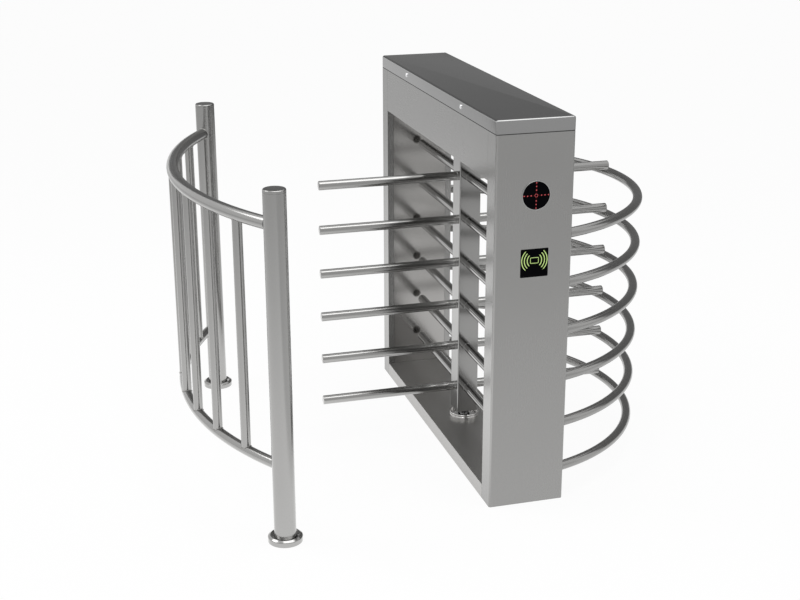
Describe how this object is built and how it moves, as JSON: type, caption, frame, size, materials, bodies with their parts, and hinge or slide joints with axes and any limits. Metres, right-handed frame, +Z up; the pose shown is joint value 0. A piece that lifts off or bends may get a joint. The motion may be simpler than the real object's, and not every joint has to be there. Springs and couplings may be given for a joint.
{
  "type": "cage turnstile",
  "caption": "Stainless portal cabinet with a four-wing rotor turning inside it, fixed side hoops and a separate curved guard rail.",
  "frame": {"origin": "rotor axis at floor level, which is the middle of the cabinet's anchor hole pattern", "axes": "+Z up along the rotor axis; +X towards the hoops, -X towards the passage and the guard; -Y towards the end with the indicator and the card reader"},
  "size_m": [1.7834, 1.57, 1.4],
  "materials": {
    "cabinet_steel": "fine satin, grain along each panel",
    "lid_steel": "fine satin",
    "portal_steel": "bright satin, reflects the arms",
    "tube_steel": "satin polished tube",
    "arm_steel": "polished tube",
    "frame_steel": "zinc grey",
    "machined_steel": "turned and milled",
    "bronze": "turned",
    "black_case": "moulded",
    "black_window": "glossy",
    "red_dots": "lit",
    "board_green": "solder mask",
    "supply_case": "pressed",
    "black_rubber": "moulded"
  },
  "bodies": {
    "cabinet": {"front_column": "cabinet_steel", "rear_column": "cabinet_steel", "header_channel": "cabinet_steel", "inner_panels": "portal_steel", "sill_cover": "portal_steel", "hoops_upper": "tube_steel", "hoops_middle": "tube_steel", "hoops_lower": "tube_steel", "guard_posts": "tube_steel", "guard_caps": "tube_steel", "guard_top_rail": "tube_steel", "guard_bottom_rail": "tube_steel", "guard_bars": "tube_steel", "guard_foot_covers": "tube_steel", "lamp_bezel": "tube_steel", "hinge_fixed_leaves": "tube_steel", "floor_collar": "arm_steel", "base_plate": "frame_steel", "frame_uprights": "frame_steel", "header_rails": "frame_steel", "mechanism_plate": "frame_steel", "guard_foot_plates": "frame_steel", "lock_keepers": "frame_steel", "bottom_bearing": "frame_steel", "top_bearing": "frame_steel", "plate_bolts": "machined_steel", "rotor_bushes": "bronze", "solenoid_coils": "black_case", "damper_body": "black_case", "lamp_housing": "black_case", "reader_housing": "black_case", "position_sensors": "black_case", "lamp_lens": "black_window", "reader_window": "black_window", "lamp_dots": "red_dots", "control_board": "board_green", "power_supply": "supply_case", "hoop_boots": "black_rubber", "lid_gasket": "black_rubber"},
    "rotor": {"rotor_post": "arm_steel", "wing_left": "arm_steel", "wing_right": "arm_steel", "wing_front": "arm_steel", "wing_rear": "arm_steel", "arm_caps": "arm_steel", "rotor_spigot": "machined_steel", "rotor_shaft": "machined_steel", "index_disc": "machined_steel", "drive_gear": "machined_steel"},
    "damper": {"damper_pinion": "bronze"},
    "entry_pawl": {"entry_pawl": "machined_steel"},
    "exit_pawl": {"exit_pawl": "machined_steel"},
    "entry_plunger": {"entry_plunger": "machined_steel"},
    "exit_plunger": {"exit_plunger": "machined_steel"},
    "lid": {"lid": "lid_steel", "hinge_moving_leaves": "tube_steel", "hinge_pins": "machined_steel", "lock_housings": "arm_steel"},
    "front_lock": {"front_lock_cam": "machined_steel"},
    "rear_lock": {"rear_lock_cam": "machined_steel"}
  },
  "joints": [
    {"name": "rotor_turn", "type": "hinge", "parent": "cabinet", "child": "rotor", "pos_m": [0, 0, 0.6], "axis": [0, 0, 1], "continuous": true},
    {"name": "damper_turn", "type": "hinge", "parent": "cabinet", "child": "damper", "pos_m": [0.06788, -0.06788, 1.27], "axis": [0, 0, 1], "continuous": true},
    {"name": "entry_pawl_swing", "type": "hinge", "parent": "cabinet", "child": "entry_pawl", "pos_m": [0.084, 0.076, 1.2603], "axis": [0, 0, 1], "range_deg": [0, 10], "stiffness_Nm_per_rad": 0.6, "springref_deg": -5.73},
    {"name": "exit_pawl_swing", "type": "hinge", "parent": "cabinet", "child": "exit_pawl", "pos_m": [-0.084, -0.076, 1.2603], "axis": [0, 0, 1], "range_deg": [0, 10], "stiffness_Nm_per_rad": 0.6, "springref_deg": -5.73},
    {"name": "entry_plunger_slide", "type": "slide", "parent": "cabinet", "child": "entry_plunger", "axis": [0, -1, 0], "range_m": [0, 0.0154]},
    {"name": "exit_plunger_slide", "type": "slide", "parent": "cabinet", "child": "exit_plunger", "axis": [0, 1, 0], "range_m": [0, 0.0154]},
    {"name": "lid_hinge", "type": "hinge", "parent": "cabinet", "child": "lid", "pos_m": [0.146, 0, 1.35075], "axis": [0, 1, 0], "range_deg": [0, 100]},
    {"name": "front_lock_turn", "type": "hinge", "parent": "lid", "child": "front_lock", "pos_m": [-0.13, -0.336, 1.378], "axis": [1, 0, 0], "range_deg": [0, 90]},
    {"name": "rear_lock_turn", "type": "hinge", "parent": "lid", "child": "rear_lock", "pos_m": [-0.13, 0.336, 1.378], "axis": [1, 0, 0], "range_deg": [0, 90]}
  ],
  "couplings": [
    {"joint": "damper_turn", "follows": "rotor_turn", "ratio": -3},
    {"joint": "entry_plunger_slide", "follows": "entry_pawl_swing", "m_per_rad": 0.087692},
    {"joint": "exit_plunger_slide", "follows": "exit_pawl_swing", "m_per_rad": 0.087692}
  ]
}
